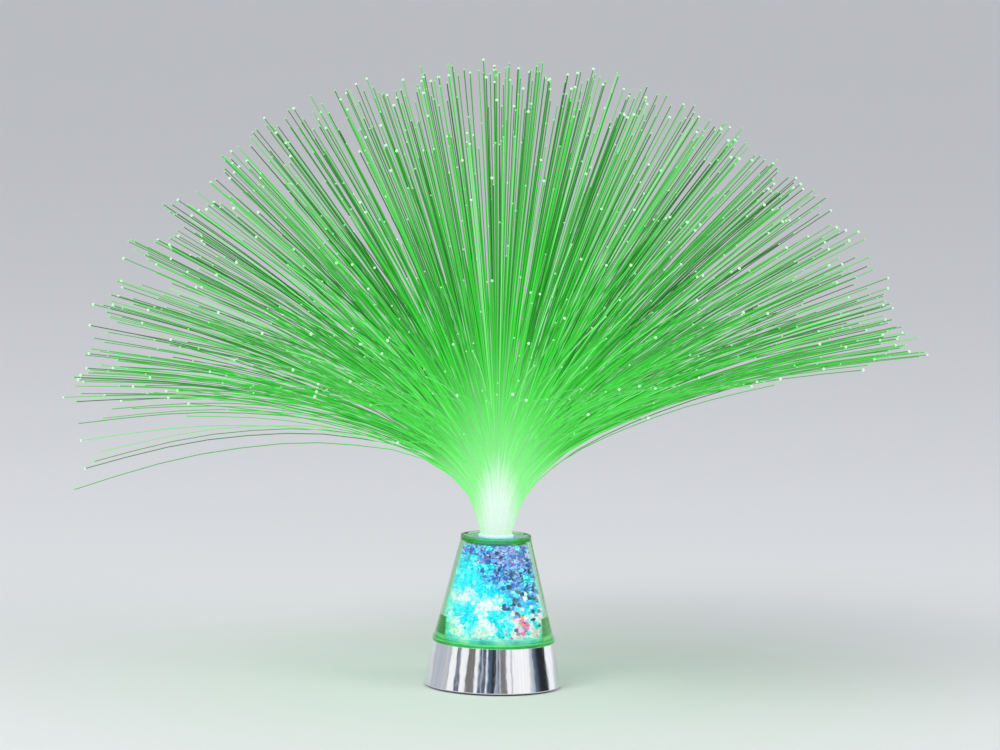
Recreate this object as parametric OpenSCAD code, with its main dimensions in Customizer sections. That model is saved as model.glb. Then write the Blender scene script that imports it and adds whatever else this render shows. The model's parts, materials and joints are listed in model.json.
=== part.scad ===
// Fibre optic table lamp. A chrome base holds three cells and the lights, a clear cone full
// of crystal chips stands on it, and a spray of light fibres leaves the sleeve in its middle.
// Millimetres, +Z up. The origin is on the table, under the centre of the base.

/* [Base] */
// Diameter of the chrome housing at its foot
base_d = 71.5; // [70.5:0.5:84]
// Height of the base, from the table to the seat of the cone
base_h = 24; // [23:0.5:30]
// Wall of the chrome housing
shell_wall = 1.8; // [1.2:0.1:2]
// How far the feet lift the rim off the table
foot_gap = 0.8; // [0.5:0.1:1.5]
// Thickness of the bottom cover
plate_t = 2.6; // [2.4:0.1:3]
// Diameter of a rubber foot
foot_d = 7; // [5:0.5:8]

/* [Cone] */
// Diameter of the clear cone at its foot
cone_d = 64; // [63:0.5:68]
// Diameter of the clear cone at its top
cone_top_d = 37; // [32:0.5:44]
// Height of the clear cone
cone_h = 53; // [44:1:70]
// Wall of the clear cone
cone_wall = 1.8; // [1.5:0.1:2.2]
// Diameter of the straight lower part of the cavity that the crystals fill
cavity_d = 53.2; // [52:0.2:54]
// How far the cone overhangs the chrome housing
cone_overhang = 0.5; // [0.3:0.1:1.5]
// Height of the band round the cone's foot
band_h = 2.2; // [1:0.1:3]
// Thickness of the top cap
cap_t = 2.4; // [1.6:0.1:3.5]
// Depth of the cap's spigot in the cone
cap_spigot_h = 1.5; // [1:0.1:4]
// Thickness of the deck that the crystals lie on
deck_t = 1.6; // [1.4:0.1:3]
// Size of one crystal chip
chip_size = 7.2; // [6.6:0.1:10]

/* [Fibres] */
// Diameter of the potted fibre bundle
bundle_d = 16.4; // [13:0.1:18]
// Wall of the bundle's sleeve
sleeve_wall = 0.9; // [0.7:0.1:1.5]
// How far the sleeve stands out of the cap
sleeve_rise = 0.4; // [0.2:0.1:5]
// Length of a fibre above the sleeve's mouth
fibre_l = 250; // [150:1:300]
// Angle from upright at which the outermost fibres end, in degrees
spray_angle = 86; // [50:1:92]
// Rings of fibres in the bundle
fibre_rings = 10; // [6:1:11]
// Width of one fibre
fibre_w = 0.62; // [0.4:0.01:0.65]

/* [Batteries] */
// Diameter of a cell, from 9.5 to 10.5 in the standard
cell_d = 10.5; // [9.5:0.1:10.5]
// Length of a cell, from 43.3 to 44.5 in the standard
cell_l = 44.5; // [43.3:0.1:44.5]
// Length of a contact spring when its cell is in
spring_l = 4.5; // [3.5:0.1:4.7]
// Wall of the battery bay
bay_wall = 1.2; // [0.8:0.1:1.3]
// How far the battery door opens in the drawing, in degrees
door_open = 0; // [0:5:100]

/* [Circuit board] */
// Diameter of the circuit board
board_d = 44; // [42:0.5:46]
// Thickness of the circuit board
board_t = 1.6; // [1:0.1:1.8]
// Distance of the three crystal lights from the middle
crystal_led_r = 17; // [15.5:0.5:18]
// Diameter of a light's body
led_d = 5; // [4.8:0.1:5.2]
// Travel of the switch
switch_travel = 2; // [1.5:0.1:2.5]

/* [Hidden] */
gap = 0.3;          // between pieces that don't fit each other
fit = 0.1;          // between pieces that fit each other
thread_fit = 0.05;  // between a screw and the hole that it cuts its thread in
cut = 1;            // by which a cut runs past the faces it opens
cells = 3;
corners = [0, 1, 2];        // of a triangle

// Base
base_r = base_d / 2;
top_r = cone_d / 2 - cone_overhang;
plate_top = foot_gap + plate_t;
ledge_t = 2;
function shell_out(z) = base_r + (top_r - base_r) * (z - foot_gap) / (base_h - foot_gap);
function shell_in(z) = shell_out(z) - shell_wall;
cover_r = shell_in(plate_top) - gap;
edge_round = 0.6;

// Cone
cone_r = cone_d / 2;
cone_top_r = cone_top_d / 2;
cone_top = base_h + cone_h;
band_step = 0.3;
taper = (cone_r - band_step - cone_top_r) / cone_h;
function cone_out(z) = cone_r - band_step - taper * (z - base_h);
cavity_r = cavity_d / 2;
function cone_in(z) = min(cavity_r, cone_out(z) - cone_wall);
// Height at which the outside of the cone has a given radius
function height_at(r) = base_h + (cone_r - band_step - r) / taper;

// Spigot of the housing, and the deck that rests on it
spigot_h = 1.2;
spigot_t = 2.4;
deck_z = base_h + spigot_h;
deck_top = deck_z + deck_t;
spigot_r = cavity_r - gap;
deck_r = cavity_r - gap;

// Bundle, sleeve and cap
bundle_r = bundle_d / 2;
sleeve_in = bundle_r + fit;
sleeve_r = sleeve_in + sleeve_wall;
socket_t = 1.5;
socket_h = 4;
cap_top = cone_top + cap_t;
mouth_z = cap_top + sleeve_rise;
bundle_seat = 0.6;          // that the potted bundle stands on
deck_bore = bundle_r - bundle_seat;
lip_h = 0.8;
lip_w = 1.5;

// Battery bay, along X
cell_r = cell_d / 2;
pitch = cell_d + gap;
cell_y = [-pitch, 0, pitch];
cell_z = plate_top + gap + cell_r;
contact_t = 0.4;
bay_hl = (cell_l + spring_l) / 2 + contact_t + fit;
bay_r = cell_r + gap;
bay_outer_r = bay_r + bay_wall;
bay_hw = pitch + bay_r;
roof_z = cell_z + bay_outer_r;
nub_r = 1.9;
nub_h = 1;
contact_w = bay_r * sqrt(2) - gap;
contact_h = contact_w;
contact_x = bay_hl - fit - contact_t;
tab_w = 3;
tab_rise = 1.7;             // of the solder tabs over the roof of the bay
tab_top = roof_z + tab_rise;
spring_wire = 0.5;
spring_turns = 3;
spring_foot_r = 3.2;
spring_top_r = 2.1;
cell_way = [1, -1, 1];      // the side that each cell's nub points to

// Battery door, hinged at its -X end and held by a screw at its +X end
door_t = plate_t - gap;
rib_w = 1.2;
rib_sunk = 0.5;
barrel_r = door_t / 2;
hinge_z = foot_gap + barrel_r;
hinge_x = -bay_hl - bay_wall - barrel_r - gap;
// Half the width of the hinge: about two thirds of the door's, or less where the plate has less
// room outside it
hinge_hw = min(0.67 * bay_hw, 2.7 * (cover_r + hinge_x - barrel_r - gap));
hinge_pin_r = 0.72;
hinge_pin_l = 1.5;
hinge_play = 0.06;
tongue_r = 3;
tongue_out = 2.4;           // of the screw's axis beyond the wall of the bay
tongue_x = bay_hl + bay_wall + tongue_out;
boss_r = 2.5;
boss_h = 6;
root_sunk = 1;              // height in the plate at which what stands on it starts
screw_r = 1;
screw_play = 0.4;           // lets the screw swing out of its boss with the door
head_r = 1.9;
head_h = 1.2;
screw_reach = 4;
screw_tip = plate_top + screw_reach;

// Screws that hold the bottom cover
head_round = 0.5;           // of every screw's head
cover_boss_r = 2.9;
boss_sunk = 0.8;            // of the bosses in the housing's wall
cover_boss_at = shell_in(base_h - ledge_t) - cover_boss_r + boss_sunk;
cover_boss_angles = [65, 115, 245, 295];
cover_screw_r = 1.15;
cover_head_r = 2.1;
cover_head_h = 1.5;
cover_screw_l = 7.5;
cover_hole_l = 9;

// Feet
foot_r = foot_d / 2;
foot_sink = 0.6;
foot_inset = 1;
foot_chamfer = 0.4;
foot_at = cover_r - foot_r - foot_inset;
foot_angles = [50, 130, 230, 310];

// Lights and circuit board
led_r = led_d / 2;
led_flange = 0.4;
led_base_h = 1;
led_sunk = 0.5;             // of a light's top under the top of the deck
board_lift = 1.8;           // over the roof of the bay, room for the leads
board_z = roof_z + board_lift;
board_top = board_z + board_t;
led_h = deck_top - led_sunk - board_top;
board_r = board_d / 2;
fibre_led_r = (led_r + led_flange) * 2 / sqrt(3) + gap;
fibre_led_angles = [30, 150, 270];
crystal_led_angles = [90, 210, 330];
board_screw_at = 15;
board_screw_angles = [30, 150, 270];
board_screw_r = 0.95;
board_head_r = 1.8;
board_head_h = 1.2;
board_post_r = 2.2;
board_screw_l = board_top - roof_z + bay_wall - gap;
part_at = 10.5;             // ring of small parts on the board
chip_box = [5, 4, 1.5];
capacitor_r = 2;
capacitor_room = 1.5;       // between the capacitor and the deck
resistor_angles = [-60, 0, 60];
resistor_r = 0.9;
resistor_l = 4;

// Switch
switch_size = [8.6, 4.4, 4.7];
switch_y = (bay_hw + bay_wall + shell_in(plate_top + switch_size.z)) / 2;
switch_stand = 0.2;
switch_z = plate_top + switch_stand;
knob_size = [2, 2.4];
slot_size = [knob_size.x + switch_travel + 2 * gap, knob_size.y + 2 * gap];
recess_margin = 2;
recess_h = 1;
pin_h = 2;
pin_pitch = 2.5;
pin_size = [0.5, 0.8];
pin_sunk = 0.1;

// Wires
wire_r = 0.6;
wire_sides = 8;

// ---------------------------------------------------------------- shared forms

function unit(v) = v / norm(v);
function polar(r, a) = [r * cos(a), r * sin(a)];
// Points of an arc in a profile
function arc(x, y, r, from, to, steps = 6) =
    [for (i = [0:steps]) [x, y] + polar(r, from + (to - from) * i / steps)];

module at_angles(r, angles) {
    for (a = angles) translate(polar(r, a)) children();
}

// Ring of points round p, across the direction t, for a tube
function ring(p, t, r, sides) =
    let (side = abs(t.z) < 0.9 ? [0, 0, 1] : [1, 0, 0],
         u = unit(cross(side, t)),
         v = cross(t, u))
    [for (i = [0:sides - 1]) p + r * (u * cos(360 * i / sides) + v * sin(360 * i / sides))];

// One tube along a path, closed at both ends
module tube(path, r, sides) {
    n = len(path);
    heading = [for (i = [0:n - 1]) unit(path[min(i + 1, n - 1)] - path[max(i - 1, 0)])];
    points = [for (i = [0:n - 1]) each ring(path[i], heading[i], r, sides)];
    wall = [for (i = [0:n - 2]) for (k = [0:sides - 1])
        let (m = (k + 1) % sides, a = i * sides, b = a + sides)
        each [[a + k, b + k, b + m], [a + k, b + m, a + m]]];
    polyhedron(points, concat(
        [[for (k = [0:sides - 1]) k]],
        wall,
        [[for (k = [0:sides - 1]) n * sides - 1 - k]]));
}

// Smooth path through the given points, by Catmull-Rom
function smooth(points, steps = 3) =
    let (n = len(points))
    concat(
        [for (i = [0:n - 2]) for (s = [0:steps - 1])
            let (t = s / steps,
                 p0 = points[max(i - 1, 0)], p1 = points[i],
                 p2 = points[i + 1], p3 = points[min(i + 2, n - 1)])
            0.5 * (2 * p1 + (p2 - p0) * t + (2 * p0 - 5 * p1 + 4 * p2 - p3) * pow(t, 2)
                + (3 * p1 - p0 - 3 * p2 + p3) * pow(t, 3))],
        [points[n - 1]]);

// Pan-head screw, its head below z = 0 and its shank above
module screw(head, head_depth, shank, length) {
    rotate_extrude($fn = 48)
        polygon(concat(
            [[0, -head_depth]],
            arc(head - head_round, head_round - head_depth, head_round, -90, 0, 3),
            [[head, 0], [shank, 0], [shank, length - shank], [0, length]]));
}

// ---------------------------------------------------------------- base

module base_housing() {
    spigot_in = spigot_r - spigot_t;
    ledge_z = base_h - ledge_t;
    boss_z = plate_top;
    color("silver")
    difference() {
        union() {
            rotate_extrude($fn = 180) polygon(concat(
                [[base_r - shell_wall, foot_gap]],
                arc(base_r - edge_round, foot_gap + edge_round, edge_round, -90, 0, 4),
                arc(top_r - edge_round, base_h - edge_round, edge_round, 0, 90, 4),
                [[spigot_r, base_h],
                 [spigot_r, deck_z],
                 [spigot_in, deck_z],
                 [spigot_in, ledge_z],
                 [shell_in(ledge_z), ledge_z]]));
            translate([0, 0, boss_z])
                at_angles(cover_boss_at, cover_boss_angles)
                    cylinder(r = cover_boss_r, h = base_h - boss_z - ledge_t / 2, $fn = 48);
        }
        translate([0, 0, boss_z - cut])
            at_angles(cover_boss_at, cover_boss_angles)
                cylinder(r = cover_screw_r + thread_fit, h = cover_hole_l, $fn = 48);
    }
}

// Cross-section of the battery bay, for an inner or an outer radius about the side cells
function bay_profile(r, foot) = concat(
    [[pitch + r, foot]],
    arc(pitch, cell_z, r, 0, 90),
    arc(-pitch, cell_z, r, 90, 180),
    [[-pitch - r, foot]]);

module bay_bar(r, half_length, foot) {
    rotate([90, 0, 90])
        linear_extrude(height = 2 * half_length, center = true)
            polygon(bay_profile(r, foot));
}

// Outline of the battery door, grown by a clearance
module door_outline(grow) {
    hw = bay_hw - gap + grow;
    hl = bay_hl + grow;
    tongue = tongue_r + grow;
    translate([-hl, -hw]) square([2 * hl, 2 * hw]);
    translate([hinge_x, -hinge_hw - grow]) square([bay_hl - hinge_x, 2 * (hinge_hw + grow)]);
    translate([0, -tongue]) square([tongue_x, 2 * tongue]);
    translate([tongue_x, 0]) circle(r = tongue, $fn = 64);
}

module switch_cut() {
    slot = slot_size;
    pocket = [slot.x + 2 * recess_margin, slot.y + 2 * recess_margin];
    translate([0, switch_y, foot_gap - cut]) {
        translate([-slot.x / 2, -slot.y / 2, 0]) cube([slot.x, slot.y, plate_t + 2 * cut]);
        translate([-pocket.x / 2, -pocket.y / 2, 0]) cube([pocket.x, pocket.y, recess_h + cut]);
    }
}

module bottom_cover() {
    hinge_reach = hinge_hw + gap + hinge_pin_l + fit;
    color("dimgray")
    difference() {
        union() {
            translate([0, 0, foot_gap]) cylinder(r = cover_r, h = plate_t, $fn = 180);
            intersection() {
                union() {
                    bay_bar(bay_outer_r, bay_hl + bay_wall, foot_gap + root_sunk);
                    translate([tongue_x, 0, foot_gap + root_sunk])
                        cylinder(r = boss_r, h = plate_t + boss_h - root_sunk, $fn = 48);
                }
                rotate_extrude($fn = 180)
                    polygon([[0, foot_gap],
                             [shell_in(foot_gap) - gap, foot_gap],
                             [shell_in(base_h) - gap, base_h],
                             [0, base_h]]);
            }
            translate([0, 0, cell_z])
                at_angles(board_screw_at, board_screw_angles)
                    cylinder(r = board_post_r, h = board_z - cell_z, $fn = 48);
        }
        // the bay, open below
        bay_bar(bay_r, bay_hl, foot_gap - cut);
        // the seat of the door, with its hinge bores
        translate([0, 0, foot_gap - cut])
            linear_extrude(height = door_t + gap + cut) door_outline(gap);
        translate([hinge_x - barrel_r - gap, -hinge_hw - gap, foot_gap - cut])
            cube([barrel_r + 2 * gap, 2 * (hinge_hw + gap), plate_t + 2 * cut]);
        translate([hinge_x, 0, hinge_z])
            rotate([90, 0, 0])
                cylinder(r = hinge_pin_r + hinge_play, h = 2 * hinge_reach, center = true, $fn = 48);
        translate([tongue_x, 0, foot_gap])
            cylinder(r = screw_r + screw_play, h = screw_tip + cut - foot_gap, $fn = 48);
        // slots for the two solder tabs
        for (side = [1, -1])
            translate([side * (contact_x + contact_t / 2), side * pitch, cell_z])
                translate([-contact_t / 2 - fit, -tab_w / 2 - fit, 0])
                    cube([contact_t + 2 * fit, tab_w + 2 * fit, bay_outer_r + cut]);
        switch_cut();
        translate([0, 0, foot_gap - cut]) {
            at_angles(foot_at, foot_angles)
                cylinder(r = foot_r + fit, h = cut + foot_sink, $fn = 64);
            at_angles(cover_boss_at, cover_boss_angles) {
                cylinder(r = cover_head_r + 2 * fit, h = cut + cover_head_h + fit, $fn = 48);
                cylinder(r = cover_screw_r + fit, h = plate_t + 2 * cut, $fn = 48);
            }
        }
        translate([0, 0, board_top - board_screw_l - gap])
            at_angles(board_screw_at, board_screw_angles)
                cylinder(r = board_screw_r + thread_fit, h = board_screw_l + gap + cut, $fn = 36);
    }
}

module rubber_feet() {
    color("black")
        at_angles(foot_at, foot_angles)
            rotate_extrude($fn = 64)
                polygon([[0, 0], [foot_r - foot_chamfer, 0], [foot_r, foot_chamfer],
                         [foot_r, foot_gap + foot_sink], [0, foot_gap + foot_sink]]);
}

module cover_screws() {
    color("gray")
        translate([0, 0, foot_gap + cover_head_h])
            at_angles(cover_boss_at, cover_boss_angles)
                screw(cover_head_r, cover_head_h, cover_screw_r, cover_screw_l);
}

// ---------------------------------------------------------------- battery door

module hung_on_door() {
    translate([hinge_x, 0, hinge_z])
        rotate([0, door_open, 0])
            translate([-hinge_x, 0, -hinge_z]) children();
}

module battery_door() {
    rib_h = cell_z - cell_r - foot_gap - door_t - fit;
    color("dimgray") hung_on_door()
    difference() {
        union() {
            translate([0, 0, foot_gap]) linear_extrude(height = door_t) door_outline(0);
            translate([hinge_x, 0, hinge_z]) rotate([90, 0, 0]) {
                cylinder(r = barrel_r, h = 2 * hinge_hw, center = true, $fn = 48);
                cylinder(r = hinge_pin_r, h = 2 * (hinge_hw + gap + hinge_pin_l),
                         center = true, $fn = 48);
            }
            // ribs that the cells lie on
            for (x = [-1, 1] * cell_l / 4)
                translate([x - rib_w / 2, -pitch, foot_gap + door_t - rib_sunk])
                    cube([rib_w, 2 * pitch, rib_h + rib_sunk]);
        }
        translate([tongue_x, 0, foot_gap - cut]) {
            cylinder(r = head_r + fit, h = cut + head_h + fit, $fn = 48);
            cylinder(r = screw_r + fit, h = plate_t + 2 * cut, $fn = 48);
        }
    }
}

module door_screw() {
    color("gray") hung_on_door()
        translate([tongue_x, 0, foot_gap + head_h])
            screw(head_r, head_h, screw_r, screw_tip - foot_gap - head_h);
}

// ---------------------------------------------------------------- cells and contacts

// Cell i of the bay, its nub against the contact on its own side
module battery(i) {
    body_l = cell_l - nub_h;
    body_r = cell_r - fit;
    crimp = 0.5;
    dish = 0.3;
    color("orange")
        translate([0, cell_y[i - 1], cell_z])
            rotate(cell_way[i - 1] > 0 ? 0 : 180)
                translate([contact_x - cell_l, 0, 0])
                    rotate([0, 90, 0])
                        rotate_extrude($fn = 64)
                            polygon(concat(
                                [[0, dish], [nub_r, dish], [nub_r + crimp, 0]],
                                arc(body_r - crimp, crimp, crimp, -90, 0, 3),
                                arc(body_r - crimp, body_l - crimp, crimp, 0, 90, 3),
                                [[nub_r, body_l], [nub_r, cell_l], [0, cell_l]]));
}

// Conical spring between the cell's flat end and its contact, wide at the contact
function spring_path() =
    let (rise = spring_l - 2 * gap - spring_wire, rings = 8 * spring_turns)
    [for (k = [0:rings])
        let (t = k / rings, a = 360 * spring_turns * t)
        concat(gap + spring_wire / 2 + rise * t,
               polar(spring_foot_r + (spring_top_r - spring_foot_r) * t, a))];
spring_least_gap =
    let (path = spring_path(), n = len(path))
    min([for (i = [0:n - 7]) for (j = [i + 6:n - 1]) norm(path[i] - path[j])]) - spring_wire;
echo(str("contact spring, least gap between turns: ", spring_least_gap, " mm"));

module contact_spring(i) {
    color("silver")
        translate([0, cell_y[i - 1], cell_z])
            rotate(cell_way[i - 1] > 0 ? 0 : 180)
                translate([-contact_x, 0, 0])
                    tube(spring_path(), spring_wire / 2, 6);
}

// Contact plate over one or two cells, on the side that way gives
module contact(way, y, width, tab) {
    color("lightgray")
        translate([way > 0 ? contact_x : -contact_x - contact_t, y - width / 2, cell_z - contact_h / 2]) {
            cube([contact_t, width, contact_h]);
            if (tab)
                translate([0, width / 2 - tab_w / 2, contact_h / 2])
                    cube([contact_t, tab_w, tab_top - cell_z]);
        }
}
module contact_positive() { contact(1, pitch, contact_w, true); }
module contact_negative() { contact(-1, -pitch, contact_w, true); }
module contact_link_left() { contact(-1, pitch / 2, pitch + contact_w, false); }
module contact_link_right() { contact(1, -pitch / 2, pitch + contact_w, false); }

// ---------------------------------------------------------------- switch

module switch_body() {
    color("silver")
        translate([-switch_size.x / 2, switch_y - switch_size.y / 2, switch_z])
            cube(switch_size);
    color("gold")
        for (i = [-1:1])
            translate([i * pin_pitch - pin_size.x / 2, switch_y - pin_size.y / 2,
                       switch_z + switch_size.z - pin_sunk])
                cube([pin_size.x, pin_size.y, pin_h + pin_sunk]);
}

// Drawn at off; on is switch_travel further along X
module switch_slider() {
    top = switch_z - fit;
    color("black")
        translate([-switch_travel / 2, switch_y, 0])
            translate([-knob_size.x / 2, -knob_size.y / 2, foot_gap])
                cube([knob_size.x, knob_size.y, top - foot_gap]);
}

// ---------------------------------------------------------------- circuit board

module circuit_board() {
    color("darkgreen")
    translate([0, 0, board_z])
        difference() {
            cylinder(r = board_r, h = board_t, $fn = 120);
            translate([0, 0, -cut])
                at_angles(board_screw_at, board_screw_angles)
                    cylinder(r = board_screw_r + fit, h = board_t + 2 * cut, $fn = 36);
        }
}

module board_screws() {
    color("gray")
        translate([0, 0, board_top])
            at_angles(board_screw_at, board_screw_angles)
                mirror([0, 0, 1])
                    screw(board_head_r, board_head_h, board_screw_r, board_screw_l);
}

// Round light with its rim on the board
module led(at, tint) {
    color(tint)
        translate([at.x, at.y, board_top])
            rotate_extrude($fn = 48)
                polygon(concat(
                    [[0, 0], [led_r + led_flange, 0], [led_r + led_flange, led_base_h],
                     [led_r, led_base_h]],
                    arc(0, led_h - led_r, led_r, 0, 90, 6)));
}
module fiber_led(i, tint) { led(polar(fibre_led_r, fibre_led_angles[i]), tint); }
module crystal_led(i) {
    led(polar(crystal_led_r, crystal_led_angles[i - 1]), ["deepskyblue", "white", "royalblue"][i - 1]);
}

module controller_chip() {
    color("black")
        translate(concat(polar(part_at + 1, 125), board_top) - [chip_box.x, chip_box.y, 0] / 2)
            cube(chip_box);
}

module resistors() {
    color("tan")
        for (a = resistor_angles)
            translate(concat(polar(part_at, a), board_top + resistor_r))
                rotate([90, 0, a]) cylinder(r = resistor_r, h = resistor_l, center = true, $fn = 36);
}

module capacitor() {
    color("midnightblue")
        translate([-part_at, 0, board_top])
            cylinder(r = capacitor_r, h = deck_z - capacitor_room - board_top, $fn = 48);
}

// ---------------------------------------------------------------- wires

// Leads run from the solder tabs to the switch and the board. They stay under the board, over
// the roof of the bay or beside its wall.
pin_top = switch_z + switch_size.z + pin_h;
over_pin = pin_top + wire_r + fit;
tab_in = contact_x - wire_r - fit;
solder_z = tab_top - wire_r - fit;
solder_y = pitch - tab_w / 6;
bay_side = bay_hw + bay_wall;
under_board = board_z - fit;
switched_pad = [2.4, (bay_side + board_r) / 2];
negative_pad = polar(board_r - 2 * wire_r, 205);

// Point of a lead that runs over the rounded edge of the bay, at an angle up from its side
function over_edge(x, angle) =
    concat(x, [pitch, cell_z] + polar(bay_outer_r + wire_r + 2 * gap, angle));

module wire(tint, points) {
    color(tint) tube(smooth(points), wire_r, wire_sides);
}

module wire_positive() {
    beside = bay_side + wire_r + 2 * gap;
    wire("red", [
        [tab_in, solder_y, solder_z],
        over_edge(tab_in - 0.8, 72),
        over_edge(tab_in - 2.4, 42),
        over_edge(tab_in - 5, 12),
        [tab_in / 2, beside, over_pin + 0.6],
        [tab_in / 4, (beside + switch_y) / 2, over_pin + 0.3],
        [pin_pitch - pin_size.x / 2, switch_y, over_pin]]);
}

module wire_switched() {
    wire("white", [
        [0, switch_y, pin_top + fit],
        [0, switch_y, pin_top + 1.6],
        [switched_pad.x * 0.4, switch_y - 1.2, pin_top + 3],
        [switched_pad.x * 0.9, switched_pad.y + 0.8, under_board - 2.4],
        concat(switched_pad, under_board - 1.2),
        concat(switched_pad, under_board)]);
}

module wire_negative() {
    lie_z = under_board - wire_r;
    wire("black", [
        [-tab_in, -solder_y, solder_z],
        [1.5 - tab_in, -solder_y - 0.3, (solder_z + lie_z) / 2],
        concat(negative_pad * 1.08, lie_z),
        concat(negative_pad, lie_z),
        concat(negative_pad * 0.9, lie_z)]);
}

// ---------------------------------------------------------------- cone

module deck_plate() {
    color("azure")
    difference() {
        union() {
            translate([0, 0, deck_z]) cylinder(r = deck_r, h = deck_t, $fn = 160);
            translate([0, 0, deck_z])
                cylinder(r = sleeve_r + fit + socket_t, h = deck_t + socket_h, $fn = 96);
        }
        translate([0, 0, deck_top]) cylinder(r = sleeve_r + fit, h = socket_h + cut, $fn = 96);
        translate([0, 0, deck_z - cut]) {
            cylinder(r = deck_bore, h = deck_t + 2 * cut, $fn = 96);
            at_angles(crystal_led_r, crystal_led_angles)
                cylinder(r = led_r + gap, h = deck_t + 2 * cut, $fn = 48);
        }
    }
}

// The cavity is straight below and tapers with the outside above, so the foot is a thick wedge
// that gathers the light of the deck and glows.
module light_cone() {
    color("palegreen", 0.5)
        rotate_extrude($fn = 180) polygon([
            [cavity_r, base_h],
            [cone_r, base_h],
            [cone_r, base_h + band_h],
            [cone_out(base_h + band_h), base_h + band_h],
            [cone_top_r, cone_top],
            [cone_top_r - cone_wall, cone_top],
            [cavity_r, height_at(cavity_r + cone_wall)]]);
}

module top_cap() {
    spigot = cone_top_r - cone_wall - gap;
    bore = sleeve_r + fit;
    soft = 0.4;
    color("palegreen", 0.6)
        rotate_extrude($fn = 160) polygon(concat(
            [[bore, cone_top - cap_spigot_h],
             [spigot, cone_top - cap_spigot_h],
             [spigot, cone_top]],
            arc(cone_top_r - soft, cone_top + soft, soft, -90, 0, 3),
            arc(cone_top_r - soft, cap_top - soft, soft, 0, 90, 3),
            [[cone_top_r - lip_w, cap_top],
             [cone_top_r - lip_w - lip_h, cap_top - lip_h],
             [bore, cap_top - lip_h]]));
}

module bundle_sleeve() {
    soft = 0.3;
    color("white", 0.7)
        rotate_extrude($fn = 96) polygon([
            [sleeve_in, deck_top],
            [sleeve_r, deck_top],
            [sleeve_r, mouth_z - soft],
            [sleeve_r - soft, mouth_z],
            [sleeve_in, mouth_z]]);
}

// ---------------------------------------------------------------- crystal chips

// The chips lie in layers of rings. Each one is a block with its eight corners drawn in at
// random, so it stays in its own cell and touches no other.
chip_gap = 0.3;
chip_foot = deck_top + fit;
chip_space = cone_top - cap_spigot_h - fit - chip_foot;
chip_layers = max(3, round(chip_space / chip_size));
layer_h = chip_space / chip_layers;
chaos = rands(0, 1, 9973, 7);
function pick(seed) = chaos[floor(abs(seed)) % len(chaos)];

function layer_z(i) = chip_foot + i * layer_h;
function core_r(i) =
    sleeve_r + fit + (layer_z(i) < deck_top + socket_h ? fit + socket_t : 0);
function layer_width(i) = cone_in(layer_z(i + 0.5)) - core_r(i);
function layer_rings(i) = max(1, round(layer_width(i) / chip_size));
function ring_r(i, j, z) = core_r(i) + (cone_in(z) - core_r(i)) * j / layer_rings(i);
function ring_count(i, j) =
    max(6, floor(2 * PI * ring_r(i, j + 0.5, layer_z(i + 0.5)) / chip_size));

// Corner of chip k in ring j of layer i: a is 0 or 1 along the ring, b outward, c upward
function chip_corner(i, j, k, a, b, c) =
    let (n = ring_count(i, j),
         seed = 613 * i + 211 * j + 37 * k + 11 * a + 5 * b + 3 * c,
         draw = [pick(seed), pick(seed + 1), pick(seed + 2)] * 0.9,
         z = layer_z(i + c) + (c == 0 ? 1 : -1) * (chip_gap / 2 + draw.z),
         half = 180 / n,
         inner = (ring_r(i, j, z) + chip_gap / 2) / cos(half) + draw.x,
         outer = ring_r(i, j + 1, z) - chip_gap / 2 - draw.x,
         r = b == 0 ? inner : outer,
         turn = (chip_gap / 2 + draw.y) / r * 180 / PI,
         angle = 360 * (k + a) / n + 47 * i + 29 * j + (a == 0 ? turn : -turn))
    concat(polar(r, angle), z);

module chip(i, j, k) {
    points = [for (c = [0, 1]) for (b = [0, 1]) for (a = [0, 1]) chip_corner(i, j, k, a, b, c)];
    polyhedron(points, [
        [0, 1, 3], [0, 3, 2],
        [4, 6, 7], [4, 7, 5],
        [0, 4, 5], [0, 5, 1],
        [2, 3, 7], [2, 7, 6],
        [0, 2, 6], [0, 6, 4],
        [1, 5, 7], [1, 7, 3]]);
}

// One third of the layers, counted from the deck
module crystals(third, tint) {
    color(tint)
        for (i = [0:chip_layers - 1])
            if (floor(3 * i / chip_layers) == third)
                for (j = [0:layer_rings(i) - 1]) for (k = [0:ring_count(i, j) - 1]) chip(i, j, k);
}

// ---------------------------------------------------------------- fibre spray

// The potted bundle is a disc of triangles in rings about the axis. Every triangle with its
// base outward carries a fibre, and the ones between them are the face of the potting.
bundle_z = deck_top + fit;
root_z = mouth_z + fit;
exit_tilt = 15;                 // of the outermost fibres at the mouth, in degrees
first_leg = 0.1;                // share of a fibre's length that its first segment takes
straight = 0.06;                // share of its length before it bends
quick_bend = 0.62;              // share of its bend that it makes soon after the mouth
curve_legs = 30;                // that its curve is summed from
uneven = 0.05;                  // share by which cut lengths differ
lean_spread = 4;                // by which the fibres of one ring lean differently
side_lean = 3.5;                // by which the outermost end lower at -X and higher at +X
stray_angle = 24;               // by which a few outer fibres at -X hang lower
stray_zone = 0.8;               // least share of their place in the bundle that lies along -X

function lattice_start(k) = k == 0 ? 0 : 1 + 3 * k * (k - 1);
function lattice(k, i) = k == 0 ? 0 : lattice_start(k) + i % (6 * k);
function lattice_point(k, i) = polar(bundle_r * k / fibre_rings, k == 0 ? 0 : 60 * i / k);
lattice_size = lattice_start(fibre_rings + 1);
rim_count = 6 * fibre_rings;

// Segments of a fibre, from 3 to 5: the outer ones curve the most
function fibre_segments(k) = 3 + floor(2 * (k - 1) / (fibre_rings - 1));
function fibre_points_before(k) =
    k <= 1 ? 0 : fibre_points_before(k - 1) + 18 * (k - 1) * fibre_segments(k - 1);
function fibre_start(k, i) =
    lattice_size + rim_count + fibre_points_before(k) + 3 * i * fibre_segments(k);

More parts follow.
